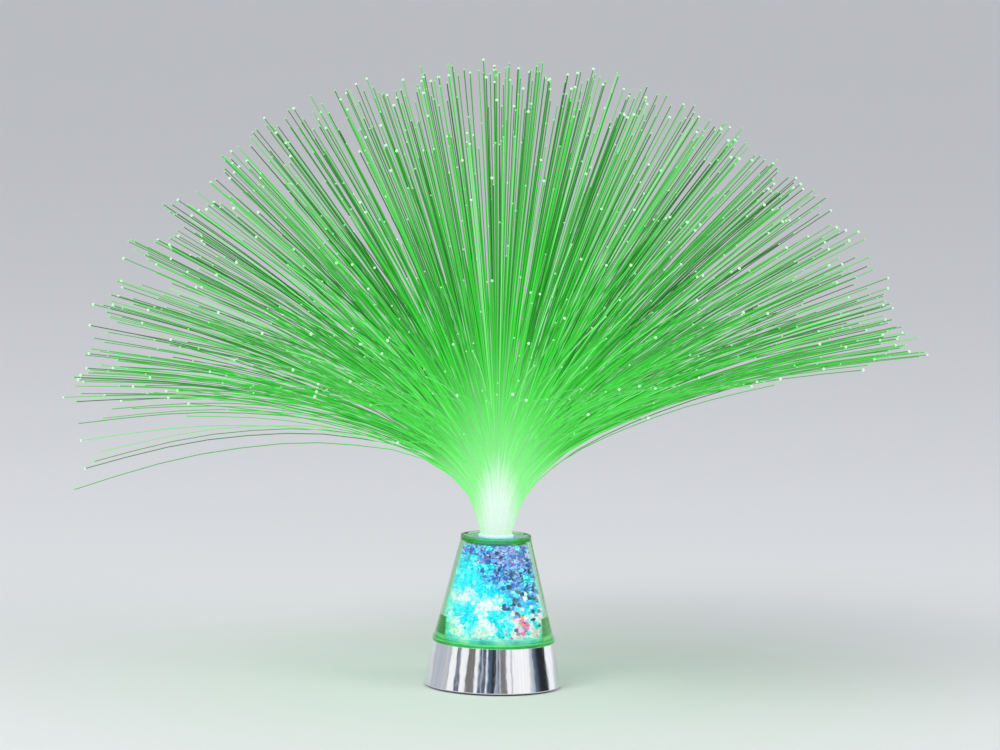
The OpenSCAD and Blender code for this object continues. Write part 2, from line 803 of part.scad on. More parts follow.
// The three lattice points under fibre i of ring k
function root_of(k, i) =
    let (sector = floor(i / k), j = i - sector * k)
    [[k, i], [k, i + 1], [k - 1, sector * (k - 1) + j]];
function root_centre(k, i) =
    let (root = root_of(k, i))
    (lattice_point(root[0][0], root[0][1]) + lattice_point(root[1][0], root[1][1])
        + lattice_point(root[2][0], root[2][1])) / 3;

// Share of a fibre's length at which its segment s ends
function station(s, n) = s == 0 ? 0 : first_leg + (1 - first_leg) * pow((s - 1) / (n - 1), 1.6);
// Share of its whole bend that a fibre has made at share u of its length: most of it soon after
// the mouth, and the rest slowly, under its own weight
function bend(u) =
    quick_bend * (1 - pow(1 - max(0, u - straight) / (1 - straight), 8)) + (1 - quick_bend) * u;
function stride(length, lean, way) = length * concat(polar(sin(lean), way), cos(lean));

// Path of fibre i of ring k. Further out in the bundle a fibre leans further all along, so no
// two cross.
function fibre_path(k, i) =
    let (foot = root_centre(k, i),
         share = min(1, norm(foot) * fibre_rings / (fibre_rings - 0.35) / bundle_r),
         side = foot.x / norm(foot),
         seed = 97 * k + 7 * i,
         stray = k == fibre_rings && -side > stray_zone ? stray_angle * pow(pick(seed), 3) : 0,
         start = exit_tilt * share,
         lowest = spray_angle - side_lean * side,
         end = 2 * asin(share * sin(lowest / 2)) + lean_spread * (pick(seed + 2) - 0.5) + stray,
         sway = 25 / (k + 1) * (pick(53 * k) + pick(seed + 3) - 1),
         way = atan2(foot.y, foot.x) + sway,
         leg = fibre_l * (1 - uneven * pick(seed + 5)) / curve_legs,
         curve = [for (j = 0, at = concat(foot, root_z);
                       j <= curve_legs;
                       at = at + stride(leg, start + (end - start) * bend((j + 0.5) / curve_legs), way),
                       j = j + 1) at],
         n = fibre_segments(k))
    [for (s = [0:n]) curve[round(curve_legs * station(s, n))]];

// Triangle across a fibre, its first two corners outward like the root's
function fibre_section(path, s) =
    let (along = unit(path[min(s + 1, len(path) - 1)] - path[s - 1]),
         across = unit([-path[0].y, path[0].x, 0]),
         out = unit(cross(across, along)),
         side = cross(along, out),
         q = fibre_w / sqrt(3))
    [path[s] + q * (0.5 * out - sin(60) * side),
     path[s] + q * (0.5 * out + sin(60) * side),
     path[s] - q * out];

module fiber_spray() {
    lattice_points = [for (k = [0:fibre_rings]) for (i = [0:max(0, 6 * k - 1)])
        concat(lattice_point(k, i), root_z)];
    rim_points = [for (i = [0:rim_count - 1]) concat(lattice_point(fibre_rings, i), bundle_z)];
    fibre_points = [for (k = [1:fibre_rings]) for (i = [0:6 * k - 1])
        let (path = fibre_path(k, i))
        for (s = [1:fibre_segments(k)]) each fibre_section(path, s)];

    // the face of the potting between the fibres
    face = [for (k = [2:fibre_rings]) for (sector = [0:5]) for (j = [0:k - 2])
        [lattice(k - 1, sector * (k - 1) + j),
         lattice(k - 1, sector * (k - 1) + j + 1),
         lattice(k, sector * k + j + 1)]];
    rim = [for (i = [0:rim_count - 1])
        let (m = (i + 1) % rim_count, top = lattice_start(fibre_rings), low = lattice_size)
        each [[top + i, low + m, low + i], [top + i, top + m, low + m]]];
    foot = [[for (i = [0:rim_count - 1]) lattice_size + i]];
    walls = [for (k = [1:fibre_rings]) for (i = [0:6 * k - 1]) for (s = [0:fibre_segments(k) - 1])
        let (root = [for (p = root_of(k, i)) lattice(p[0], p[1])],
             first = fibre_start(k, i),
             low = s == 0 ? root : [for (c = corners) first + 3 * (s - 1) + c],
             high = [for (c = corners) first + 3 * s + c])
        for (c = corners)
            let (d = (c + 1) % 3)
            each [[low[c], high[c], high[d]], [low[c], high[d], low[d]]]];
    tips = [for (k = [1:fibre_rings]) for (i = [0:6 * k - 1])
        let (last = fibre_start(k, i) + 3 * (fibre_segments(k) - 1))
        [last + 2, last + 1, last]];
    color("limegreen")
        polyhedron(concat(lattice_points, rim_points, fibre_points),
                   concat(face, rim, foot, walls, tips));
}

// ---------------------------------------------------------------- nodes

base_housing();
bottom_cover();
rubber_feet();
cover_screws();
battery_door();
door_screw();
for (i = [1:cells]) battery(i);
for (i = [1:cells]) contact_spring(i);
contact_positive();
contact_negative();
contact_link_left();
contact_link_right();
switch_body();
switch_slider();
circuit_board();
board_screws();
fiber_led(0, "tomato");  // fiber_led_red
fiber_led(1, "lime");  // fiber_led_green
fiber_led(2, "dodgerblue");  // fiber_led_blue
for (i = [1:3]) crystal_led(i);
controller_chip();
resistors();
capacitor();
wire_positive();
wire_switched();
wire_negative();
deck_plate();
light_cone();
crystals(0, "paleturquoise");  // crystals_lower
crystals(1, "cyan");  // crystals_middle
crystals(2, "royalblue");  // crystals_upper
top_cap();
bundle_sleeve();
fiber_spray();
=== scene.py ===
"""Looks of the fibre optic lamp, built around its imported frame.

The base, cone, cap, sleeve and everything inside keep their CAD shapes and get materials here. The
fibre spray and the crystal chips are made again with more and finer pieces. Lengths are metres.
"""
import json
import math
import random

import bmesh
import bpy
from mathutils import Matrix, Vector, noise

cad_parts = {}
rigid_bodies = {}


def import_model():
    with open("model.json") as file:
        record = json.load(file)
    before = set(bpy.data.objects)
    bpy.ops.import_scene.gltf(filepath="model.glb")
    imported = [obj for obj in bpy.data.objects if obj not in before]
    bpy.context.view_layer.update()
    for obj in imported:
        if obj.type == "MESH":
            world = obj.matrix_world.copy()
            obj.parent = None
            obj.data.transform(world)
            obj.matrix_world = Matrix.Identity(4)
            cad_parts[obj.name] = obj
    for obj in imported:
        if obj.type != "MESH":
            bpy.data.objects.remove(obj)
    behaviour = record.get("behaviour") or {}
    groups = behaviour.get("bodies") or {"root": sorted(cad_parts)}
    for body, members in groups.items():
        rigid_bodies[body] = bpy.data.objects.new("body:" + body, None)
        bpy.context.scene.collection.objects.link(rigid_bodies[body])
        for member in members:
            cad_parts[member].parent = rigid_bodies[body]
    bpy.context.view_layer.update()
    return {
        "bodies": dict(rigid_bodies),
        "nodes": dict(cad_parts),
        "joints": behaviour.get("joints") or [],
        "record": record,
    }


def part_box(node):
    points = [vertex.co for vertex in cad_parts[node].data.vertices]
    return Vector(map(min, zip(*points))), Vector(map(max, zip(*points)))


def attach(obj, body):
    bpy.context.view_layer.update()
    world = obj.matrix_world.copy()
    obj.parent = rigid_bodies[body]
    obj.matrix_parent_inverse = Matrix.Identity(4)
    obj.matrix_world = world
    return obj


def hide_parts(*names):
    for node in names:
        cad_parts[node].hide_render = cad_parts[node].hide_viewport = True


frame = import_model()
NODES = frame["nodes"]
MM = 0.001

# ------------------------------------------------------------------ places taken from the frame

CONE_LOW, CONE_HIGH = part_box("light_cone")
CAP_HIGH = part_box("top_cap")[1]
SLEEVE_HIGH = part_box("bundle_sleeve")[1]
SPRAY_LOW, SPRAY_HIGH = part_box("fiber_spray")
CHIPS_LOW, CHIPS_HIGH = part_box("crystals_lower")[0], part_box("crystals_upper")[1]

CONE_FOOT_Z = CONE_LOW.z
CONE_TOP_Z = CONE_HIGH.z
BAND_OUT = 0.3 * MM         # by which the band round the cone's foot stands out
CONE_FOOT_R = CONE_HIGH.x - BAND_OUT
CONE_TOP_R = CAP_HIGH.x
CONE_WALL = 1.8 * MM
DECK_PLAY = 0.3 * MM        # between the deck plate and the cone
CAVITY_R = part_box("deck_plate")[1].x + DECK_PLAY
SLEEVE_R = SLEEVE_HIGH.x
MOUTH_Z = SLEEVE_HIGH.z
SLEEVE_WALL = 0.9 * MM
SLEEVE_PLAY = 0.1 * MM      # between the sleeve and the bundle in it
BUNDLE_R = SLEEVE_R - SLEEVE_WALL - SLEEVE_PLAY


def stray(draw, reach):
    """A random amount, up to reach either way."""
    return draw.uniform(-reach, reach)


# ------------------------------------------------------------------ camera, lights and stage

CAMERA_DISTANCE = 2.4       # level distance from the lamp's axis
CAMERA_HEIGHT = 0.39
CAMERA_AIM = Vector((0, 0, 0.163))
CAMERA_ROLL = math.radians(1.4)
SEEN_WIDTH = 0.5195         # width of the photograph at the lamp
SENSOR = 36.0               # Blender's sensor width in millimetres


def make_camera():
    place = Vector((0, -CAMERA_DISTANCE, CAMERA_HEIGHT))
    away = place - CAMERA_AIM
    data = bpy.data.cameras.new("camera")
    data.sensor_width = SENSOR
    data.lens = SENSOR * away.length / SEEN_WIDTH
    data.clip_end = 60
    camera = bpy.data.objects.new("camera", data)
    bpy.context.scene.collection.objects.link(camera)
    camera.location = place
    turn = (-away).to_track_quat("-Z", "Y").to_matrix()
    camera.rotation_euler = (turn @ Matrix.Rotation(CAMERA_ROLL, 3, "Z")).to_euler()
    bpy.context.scene.camera = camera


def area_light(name, place, target, size, watts):
    data = bpy.data.lights.new(name, "AREA")
    data.shape = "DISK"
    data.size = size
    data.energy = watts
    light = bpy.data.objects.new(name, data)
    bpy.context.scene.collection.objects.link(light)
    light.location = place
    light.rotation_euler = (Vector(target) - Vector(place)).to_track_quat("-Z", "Y").to_euler()


def mesh_object(name, points, faces, smooth=False):
    mesh = bpy.data.meshes.new(name)
    mesh.from_pydata(points, [], faces)
    mesh.update()
    if smooth:
        mesh.shade_smooth()
    thing = bpy.data.objects.new(name, mesh)
    bpy.context.scene.collection.objects.link(thing)
    return thing


SKY_COLOUR, SKY_STRENGTH = (0.93, 0.95, 1.0, 1), 0.62
LIT_PLACE = (0, 0, 0.12)    # that the two lights aim at
FLOOR_SIZE = 300
FLOOR_COLOUR = (0.84, 0.845, 0.85)
CARD_RADIUS = 1.6
CARD_TOP, CARD_FOOT = 1.5, -0.02
CARD_ROWS = 24
CARD_STEP = 3               # degrees from one edge of a card's mesh to the next
TONES = {"white": (1.0, 1.0, 1.0), "silver": (0.50, 0.53, 0.58), "grey": (0.20, 0.19, 0.19),
         "slate": (0.06, 0.10, 0.17), "dark": (0.012, 0.014, 0.018)}
CARD_SEED = 3
# Strips that only reflections see: azimuth of the left edge, width, tone and by how many degrees
# their edges wander. 0 is the camera's azimuth.
CARDS = ((-180, 83, "silver", 0), (-86, 1.5, "grey", 0.3), (-84, 15, "white", 0), (-69, 3, "dark", 0.3),
         (-66, 1.5, "silver", 0), (-64.5, 3.5, "slate", 0.5), (-61, 14, "white", 0), (-47, 14, "grey", 0.6),
         (-33, 7, "white", 0.4), (-26, 5, "slate", 0.8), (-21, 2, "silver", 0.5), (-19, 6, "slate", 0.5),
         (-13, 3, "white", 0.4), (-10, 9, "slate", 0.8), (-1, 6, "dark", 0.4), (5, 3.4, "silver", 0.3),
         (8.4, 2, "slate", 0.3), (10.4, 3.6, "silver", 0.4), (14, 10, "grey", 0.6), (24, 8, "white", 0.3),
         (32, 3, "silver", 0.4), (35, 38, "white", 0), (68, 12, "silver", 4.0), (79, 7, "slate", 3.0),
         (84, 26, "dark", 2.5), (112, 34, "white", 0.8), (146, 10, "slate", 0.6), (156, 24, "silver", 0))


def make_card(name, left, width, wander, draw):
    """Upright strip round the lamp with edges that wander a little."""
    steps = max(1, math.ceil(width / CARD_STEP))
    points, faces = [], []
    for row in range(CARD_ROWS + 1):
        z = CARD_FOOT + (CARD_TOP - CARD_FOOT) * row / CARD_ROWS
        low, high = left + stray(draw, wander), left + width + stray(draw, wander)
        for step in range(steps + 1):
            a = math.radians(low + (high - low) * step / steps - 90)
            points.append((CARD_RADIUS * math.cos(a), CARD_RADIUS * math.sin(a), z))
    for row in range(CARD_ROWS):
        for step in range(steps):
            first = row * (steps + 1) + step
            faces.append((first, first + 1, first + steps + 2, first + steps + 1))
    return mesh_object(name, points, faces)


def make_stage():
    half = FLOOR_SIZE / 2
    floor = mesh_object("floor", [(-half, -half, 0), (half, -half, 0), (half, half, 0), (-half, half, 0)],
                        [(0, 1, 2, 3)])
    paint = Shader("floor_paint", base_color=FLOOR_COLOUR, roughness=0.9)
    floor.data.materials.append(paint.material)
    paints = {}
    for tone, colour in TONES.items():
        paints[tone] = Shader(f"card_{tone}", base_color=(0, 0, 0), roughness=1.0, emission_color=colour,
                              emission_strength=1.0).material
        paints[tone].cycles.emission_sampling = "NONE"
    draw = random.Random(CARD_SEED)
    for number, (left, width, tone, wander) in enumerate(CARDS):
        card = make_card(f"card_{number}", left, width, wander, draw)
        card.data.materials.append(paints[tone])
        for ray in ("camera", "diffuse", "shadow", "transmission"):
            setattr(card, f"visible_{ray}", False)


def make_lights():
    world = bpy.data.worlds.new("world")
    bpy.context.scene.world = world
    world.use_nodes = True
    back = world.node_tree.nodes["Background"]
    back.inputs["Color"].default_value = SKY_COLOUR
    back.inputs["Strength"].default_value = SKY_STRENGTH
    area_light("key", (-1.3, -1.6, 2.1), LIT_PLACE, size=1.2, watts=32)
    area_light("fill", (1.9, -0.9, 1.3), LIT_PLACE, size=1.6, watts=12)


# ------------------------------------------------------------------ materials

MIX_A, MIX_B, MIX_RESULT = 6, 7, 2       # colour sockets of a Mix node
NOISE_LOW, NOISE_HIGH = 0.3, 0.7         # between which nearly all of a noise lies


class Shader:
    """A node material with a Principled shader, and short ways to add nodes to it."""

    def __init__(self, name, **values):
        self.material = bpy.data.materials.new(name)
        self.material.use_nodes = True
        self.tree = self.material.node_tree
        self.shader = self.tree.nodes["Principled BSDF"]
        self.output = self.tree.nodes["Material Output"]
        for socket, value in values.items():
            self.set(socket.replace("_", " ").title().replace("Ior", "IOR"), value)

    def set(self, socket, value):
        if isinstance(value, tuple) and len(value) == 3:
            value = (*value, 1)
        self.shader.inputs[socket].default_value = value

    def node(self, kind, inputs=None, **settings):
        made = self.tree.nodes.new(kind)
        for name, value in settings.items():
            setattr(made, name, value)
        for name, value in (inputs or {}).items():
            if isinstance(value, bpy.types.NodeSocket):
                self.tree.links.new(value, made.inputs[name])
            else:
                made.inputs[name].default_value = value
        return made

    def drive(self, socket, output):
        self.tree.links.new(output, self.shader.inputs[socket])

    def place(self):
        return self.node("ShaderNodeTexCoord").outputs["Object"]

    def split(self, vector):
        """The X, Y and Z of a vector."""
        return self.node("ShaderNodeSeparateXYZ", {"Vector": vector}).outputs

    def noise(self, scale, detail=3.0, vector=None):
        return self.node("ShaderNodeTexNoise", {"Vector": vector or self.place(), "Scale": scale,
                                                "Detail": detail}).outputs["Fac"]

    def ramp(self, factor, *stops):
        """Colour ramp through stops of (position, colour); a number makes a grey."""
        made = self.node("ShaderNodeValToRGB", {"Fac": factor})
        ramp = made.color_ramp
        while len(ramp.elements) < len(stops):
            ramp.elements.new(0.5)
        for element, (position, colour) in zip(ramp.elements, stops):
            element.position = position
            colour = (colour,) * 3 if isinstance(colour, (int, float)) else colour
            element.color = (*colour, 1)
        return made.outputs["Color"]

    def range(self, value, low, high, to_low, to_high):
        return self.node("ShaderNodeMapRange", {"Value": value, "From Min": low, "From Max": high,
                                                "To Min": to_low, "To Max": to_high}).outputs["Result"]

    def math(self, operation, a, b=0.0):
        """A Math node of a and b, each a socket or a number."""
        return self.node("ShaderNodeMath", {0: a, 1: b}, operation=operation).outputs["Value"]

    def add(self, a, b):
        return self.math("ADD", a, b)

    def multiply(self, a, b):
        return self.math("MULTIPLY", a, b)

    def tint(self, colour, amount):
        """colour multiplied by amount, which is a socket or a colour."""
        amount = amount if isinstance(amount, bpy.types.NodeSocket) else (*amount, 1)
        return self.node("ShaderNodeMix", {"Factor": 1.0, MIX_A: colour, MIX_B: amount},
                         data_type="RGBA", blend_type="MULTIPLY").outputs[MIX_RESULT]

    def blend(self, share, colour, other):
        """colour, turned into the other one by share."""
        return self.node("ShaderNodeMix", {"Factor": share, MIX_A: colour, MIX_B: (*other, 1)},
                         data_type="RGBA").outputs[MIX_RESULT]

    def grey(self, level):
        return self.node("ShaderNodeCombineColor", {0: level, 1: level, 2: level}).outputs["Color"]

    def mottle(self, scale, low, high):
        """Patches that run from one colour or level to another."""
        return self.ramp(self.noise(scale), (NOISE_LOW, low), (NOISE_HIGH, high))

    def uneven(self, noise, low, high):
        """Roughness that wanders between two values."""
        self.drive("Roughness", self.range(noise, NOISE_LOW, NOISE_HIGH, low, high))

    def bump(self, height, strength, distance):
        made = self.node("ShaderNodeBump", {"Height": height, "Strength": strength,
                                            "Distance": distance})
        self.drive("Normal", made.outputs["Normal"])


LINES_AROUND, LINES_UP = 220.0, 25.0     # draw lines round the base, and their breaks per metre of height


def chrome():
    """Plated plastic: a mirror with faint upright draw lines and the waviness of a moulding."""
    made = Shader("chrome", metallic=1.0)
    around = made.node("ShaderNodeTexGradient", {"Vector": made.place()}, gradient_type="RADIAL")
    high = made.split(made.place())["Z"]
    upright = made.node("ShaderNodeCombineXYZ", {"X": made.multiply(around.outputs["Fac"], LINES_AROUND),
                                                 "Y": made.multiply(high, LINES_UP)})
    lines = made.noise(1.0, 4, upright.outputs["Vector"])
    made.drive("Base Color", made.ramp(lines, (NOISE_LOW, (0.80, 0.82, 0.86)),
                                       (NOISE_HIGH, (0.92, 0.93, 0.95))))
    haze = made.add(made.multiply(lines, 0.5), made.multiply(made.noise(260, 5), 0.5))
    made.drive("Roughness", made.range(haze, 0.35, 0.7, 0.04, 0.17))
    stretched = made.node("ShaderNodeMapping", {"Vector": made.place(), "Scale": (1, 1, 0.45)})
    made.bump(made.noise(75, 3, stretched.outputs["Vector"]), 0.6, 0.4 * MM)
    return made.material


def black_plastic(name="black_plastic"):
    """Moulding with a fine spark texture."""
    made = Shader(name)
    grain = made.noise(1800, 2)
    made.drive("Base Color", made.mottle(60, (0.014, 0.014, 0.016), (0.03, 0.03, 0.033)))
    made.uneven(grain, 0.42, 0.62)
    made.bump(grain, 0.35, 0.05 * MM)
    return made.material


def rubber():
    made = Shader("foot_rubber")
    made.drive("Base Color", made.mottle(400, (0.02, 0.02, 0.02), (0.045, 0.044, 0.042)))
    made.uneven(made.noise(900), 0.7, 0.92)
    return made.material


RECESS_SLOT = 0.36 * MM      # half the width of a driver recess's arms
RECESS_REACH = 1.2 * MM
RECESS_TAPER = 0.12 * MM     # over which its walls slope
# painted shade: the colour laid into the driver recesses
PAINTED_RECESS_SHADE = (0.05, 0.05, 0.05)
COVER_HEAD_R = 2.1 * MM
DOOR_HEAD_R = 1.9 * MM


def cross_recess(made, node, head_r):
    """1 in the driver recesses of a node's screws and 0 elsewhere.

    The screws lie mirrored about X and Y, or on the X axis, so that one place stands for them all.
    """
    low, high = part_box(node)
    middle_y = high.y - head_r
    if middle_y < head_r:
        middle_y = 0.0
    place = made.split(made.place())
    ways = [made.math("ABSOLUTE", made.math("SUBTRACT", made.math("ABSOLUTE", place[axis]), middle))
            for axis, middle in (("X", high.x - head_r), ("Y", middle_y))]
    arms = [made.multiply(made.range(along, RECESS_REACH - RECESS_TAPER, RECESS_REACH, 1, 0),
                          made.range(across, RECESS_SLOT - RECESS_TAPER, RECESS_SLOT, 1, 0))
            for along, across in (ways, ways[::-1])]
    on_face = made.math("LESS_THAN", place["Z"], low.z + 0.1 * MM)
    return made.multiply(made.math("MAXIMUM", arms[0], arms[1]), on_face)


def screw_steel(name="screw_steel", node=None, head_r=None):
    """Zinc-plated steel, with driver recesses in the heads of a node's screws if one is named."""
    made = Shader(name, metallic=1.0)
    colour = made.mottle(700, (0.42, 0.42, 0.43), (0.62, 0.61, 0.58))
    made.uneven(made.noise(2500), 0.22, 0.42)
    if node:
        depth = cross_recess(made, node, head_r)
        # the recesses are darkened with painted shade and pressed in with a bump
        colour = made.blend(depth, colour, PAINTED_RECESS_SHADE)
        made.bump(made.math("SUBTRACT", 0.0, depth), 1.0, 0.4 * MM)
    made.drive("Base Color", colour)
    return made.material


def contact_metal():
    made = Shader("contact_metal", metallic=1.0)
    made.drive("Base Color", made.mottle(300, (0.6, 0.59, 0.55), (0.75, 0.74, 0.7)))
    made.uneven(made.noise(1500), 0.15, 0.34)
    return made.material


CELL_REACH = 24.5 * MM       # along X from the lamp's axis, over which a cell's tones are laid
CELL_TONES = ((0.0, (0.5, 0.5, 0.5)), (0.1, (0.02, 0.02, 0.022)), (0.66, (0.03, 0.03, 0.03)),
              (0.69, (0.62, 0.3, 0.12)), (0.95, (0.7, 0.36, 0.15)), (0.97, (0.6, 0.6, 0.58)))


def cell_jacket(way):
    """Plain two-tone jacket: copper-coloured near the nub and black along the rest. The nub is at way * X."""
    made = Shader("cell_jacket_right" if way > 0 else "cell_jacket_left", metallic=0.6)
    share = made.range(made.split(made.place())["X"], -CELL_REACH * way, CELL_REACH * way, 0, 1)
    made.drive("Base Color", made.ramp(share, *CELL_TONES))
    made.uneven(made.noise(800), 0.22, 0.36)
    return made.material


def board_laminate():
    made = Shader("board_laminate", roughness=0.35)
    weave = made.node("ShaderNodeTexWave", {"Vector": made.place(), "Scale": 320, "Distortion": 1.5})
    made.drive("Base Color", made.ramp(weave.outputs["Fac"], (0.2, (0.012, 0.13, 0.05)),
                                       (0.8, (0.02, 0.2, 0.08))))
    return made.material


def lamp_epoxy(name, colour, glow):
    made = Shader(name, roughness=0.08, emission_color=colour, emission_strength=glow)
    made.drive("Base Color", made.mottle(500, tuple(0.8 * c for c in colour), colour))
    return made.material


def lacquer(name, dark, light):
    made = Shader(name)
    made.drive("Base Color", made.mottle(600, dark, light))
    made.uneven(made.noise(1200), 0.28, 0.45)
    return made.material


ACRYLIC_IOR = 1.46
EDGE_GLOW, EDGE_TINT = (0.06, 0.80, 0.12, 1), (0.10, 0.82, 0.30, 1)
BAND_TONE = (0.03, 0.42, 0.07)


def clear_plastic(name, tint, glow, depth, bands):
    """Clear acrylic that takes the green light along its thickness, so its edges glow.

    depth is the density of its green. bands are (low, high, level): heights between which the surface
    itself is lit, and how strongly.
    """
    made = Shader(name, base_color=tint, transmission_weight=1.0, ior=ACRYLIC_IOR, emission_strength=1.0)
    made.drive("Roughness", made.range(made.noise(120), 0.3, 0.75, 0.02, 0.07))
    lines = made.node("ShaderNodeMapping", {"Vector": made.place(), "Scale": (1, 1, 0.06)})
    made.bump(made.noise(260, 2, lines.outputs["Vector"]), 0.12, 0.1 * MM)
    high = made.split(made.place())["Z"]
    lit = 0.0
    for low, top, level in bands:
        inside = made.node("ShaderNodeMath", {0: high, 1: (low + top) / 2, 2: (top - low) / 2},
                           operation="COMPARE").outputs["Value"]
        lit = made.add(made.multiply(inside, level), lit)
    level = made.multiply(lit, made.range(made.noise(140), NOISE_LOW, NOISE_HIGH, 0.1, 1.0))
    made.drive("Emission Color", made.tint(made.grey(level), BAND_TONE))
    absorb = made.node("ShaderNodeVolumeAbsorption", {"Color": EDGE_TINT, "Density": depth})
    shine = made.node("ShaderNodeEmission", {"Color": EDGE_GLOW, "Strength": glow})
    both = made.node("ShaderNodeAddShader", {0: absorb.outputs[0], 1: shine.outputs[0]})
    made.tree.links.new(both.outputs[0], made.output.inputs["Volume"])
    # lamps shine through to what is inside
    bare = made.node("ShaderNodeBsdfTransparent", {"Color": (*tint, 1)})
    path = made.node("ShaderNodeLightPath")
    mix = made.node("ShaderNodeMixShader", {0: path.outputs["Is Shadow Ray"],
                                            1: made.shader.outputs[0], 2: bare.outputs[0]})
    made.tree.links.new(mix.outputs[0], made.output.inputs["Surface"])
    return made.material


def lit_plate():
    """The frosted plate under the chips, lit through by the board's lamps."""
    made = Shader("deck_acrylic", roughness=0.35, emission_strength=0.6)
    colour = made.ramp(made.noise(110), (0.3, (0.02, 0.45, 0.60)), (0.5, (0.25, 0.75, 0.90)),
                       (0.62, (0.85, 0.90, 1.0)))
    made.drive("Base Color", made.tint(colour, (0.5, 0.5, 0.5)))
    made.drive("Emission Color", colour)
    return made.material


SLEEVE_FADE = 14 * MM        # below its mouth, over which its tones are laid


def milky_plastic():
    """The sleeve: pale at its mouth and deep blue below, where the chips light it."""
    made = Shader("milky_plastic", roughness=0.3, transmission_weight=0.3, ior=ACRYLIC_IOR,
                  emission_strength=0.55)
    share = made.range(made.split(made.place())["Z"], MOUTH_Z - SLEEVE_FADE, MOUTH_Z, 0, 1)
    # painted light: the deep blue below is the chips' light, laid into the sleeve's colour and its glow
    milk_and_chip_light = made.ramp(share, (0.0, (0.05, 0.10, 0.50)), (0.72, (0.10, 0.16, 0.62)),
                       (0.86, (0.36, 0.55, 0.72)), (1.0, (0.62, 0.78, 0.84)))
    made.drive("Base Color", milk_and_chip_light)
    made.drive("Emission Color", made.tint(milk_and_chip_light, made.ramp(made.noise(500), (0.2, 0.7), (0.8, 1.0))))
    return made.material


# ------------------------------------------------------------------ fibre spray

STRAND_R = 0.29 * MM
STRAND_LEGS = 13             # of a strand's curve above the mouth
LEG_GROWTH = 1.3             # power by which they lengthen along it
STRAND_SIDES = 4
COMPANIONS = 3               # strands that run between each fibre of the CAD node and a neighbour
NEIGHBOURS = 5               # of a fibre, that its companions may lean to
LEAN = (0.15, 0.75)          # range of the shares by which they do
SWING = math.radians(0.9)    # by which they swing away from there
LENGTH_SPREAD = 0.035        # of a companion's length, that its end may stay back by
SHORT_SHARE = 0.13           # of them are cut shorter
SHORT_LENGTH = (0.7, 0.97)
TRIM = 0.995                 # factor by which a strand shortens until it fits
BEAD_ROOM = 1.0 * MM         # that strands' ends stay clear of the spray's box
WELD = 0.001 * MM            # points closer than that are one
UPRIGHT = 1e-4               # sine of a strand's slant, below which it counts as upright
SPRAY_SEED = 11
MAP, FACET = "OFBake", "facet"      # names of the strands' map, and of the colours of beads and chips
BEAD_SIDES = 6
BEAD_RINGS = ((-0.5, 0.78), (0.15, 1.0), (0.62, 0.66))      # height and width of each, in radii
BEAD_END = 0.8               # height of its two end points, in radii
BRIGHT_SHARE = 0.25          # of the beads are bright
BRIGHT_TIP, BRIGHT_R = (0.46, 0.88, 0.48, 1), (0.6, 0.85)   # colour, and range of radii in millimetres
DIM_TIP, DIM_R = (0.20, 0.64, 0.22, 1), (0.42, 0.58)


def cad_fibres():
    """Paths of the CAD node's fibres: the middles of their triangular sections, root first."""
    node = NODES["fiber_spray"]
    corners = [tuple(round(c / WELD) for c in node.matrix_world @ vertex.co) for vertex in node.data.vertices]
    near = {}
    for edge in node.data.edges:
        a, b = (corners[index] for index in edge.vertices)
        if a != b:
            near.setdefault(a, set()).add(b)
            near.setdefault(b, set()).add(a)
    potted = {corner for corner in near if corner[2] * WELD < MOUTH_Z + MM}

    def middle(section):
        return sum((Vector(corner) for corner in section), Vector()) * WELD / len(section)

    def beyond(section, seen):
        return set().union(*(near[corner] for corner in section)) - seen

    fibres, done = [], set(potted)
    for corner in sorted(near):
        if corner in done or not near[corner] & potted:
            continue
        section = {corner} | {other for other in near[corner] - potted if near[other] & potted}
        path = [middle(beyond(section, set()) & potted)]
        while section:
            done |= section
            path.append(middle(section))
            section = beyond(section, done)
        fibres.append(path)
    return fibres


def smooth(path):
    """Points at the ends of a strand's legs, on a smooth curve through the points of the path."""
    gaps = [(b - a).length for a, b in zip(path, path[1:])]
    ways = [(b - a) / gap for a, b, gap in zip(path, path[1:], gaps)]
    slopes = [(ways[i] * gaps[i + 1] + ways[i + 1] * gaps[i]) / (gaps[i] + gaps[i + 1])
              for i in range(len(gaps) - 1)]
    slopes = [1.5 * ways[0] - 0.5 * slopes[0], *slopes, 1.5 * ways[-1] - 0.5 * slopes[-1]]
    points = []
    for number in range(STRAND_LEGS + 1):
        along, leg = sum(gaps) * (number / STRAND_LEGS) ** LEG_GROWTH, 0
        while leg < len(gaps) - 1 and along > gaps[leg]:
            along -= gaps[leg]
            leg += 1
        t, gap = min(1, along / gaps[leg]), gaps[leg]
        points.append(path[leg] * (1 + 2 * t) * (1 - t) ** 2 + path[leg + 1] * t * t * (3 - 2 * t)
                      + gap * t * (1 - t) * (slopes[leg] * (1 - t) - slopes[leg + 1] * t))
    return points


def in_box(point):
    return all(low + BEAD_ROOM < c < high - BEAD_ROOM for low, c, high in zip(SPRAY_LOW, point, SPRAY_HIGH))


